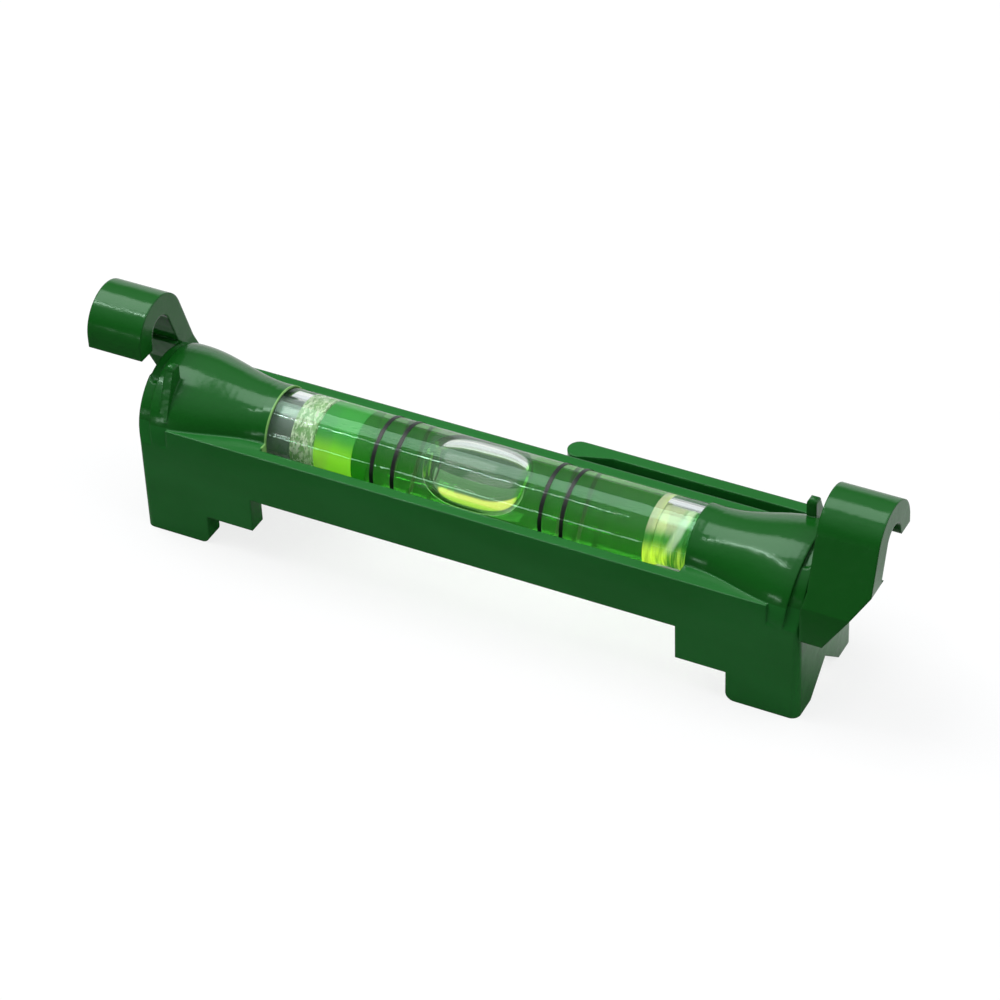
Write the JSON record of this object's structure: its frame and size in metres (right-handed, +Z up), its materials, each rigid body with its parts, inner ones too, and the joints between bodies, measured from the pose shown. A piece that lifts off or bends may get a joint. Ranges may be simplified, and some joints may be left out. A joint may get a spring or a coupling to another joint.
{
  "type": "line level",
  "caption": "Pocket line level of green plastic with string hooks, stepped feet and a clear vial between bell-shaped sockets",
  "frame": {"origin": "on the plane the feet rest on, under the middle of the vial, where the pipe notches' centre line crosses the middle of the body", "axes": "+X along the vial towards the end whose hook has its stem in front, +Y across the body towards the pocket clip, +Z up"},
  "size_m": [0.0858, 0.0159, 0.0236],
  "materials": {
    "green_plastic": "glossy green moulded plastic, opaque",
    "clear_acrylic": "clear polished acrylic",
    "green_liquid": "clear yellow-green liquid",
    "black_ink": "printed black bands"
  },
  "bodies": {
    "root": {"body": "green_plastic", "vial_tube": "clear_acrylic", "left_plug": "clear_acrylic", "right_plug": "clear_acrylic", "liquid": "green_liquid", "reading_rings": "black_ink"}
  },
  "joints": []
}
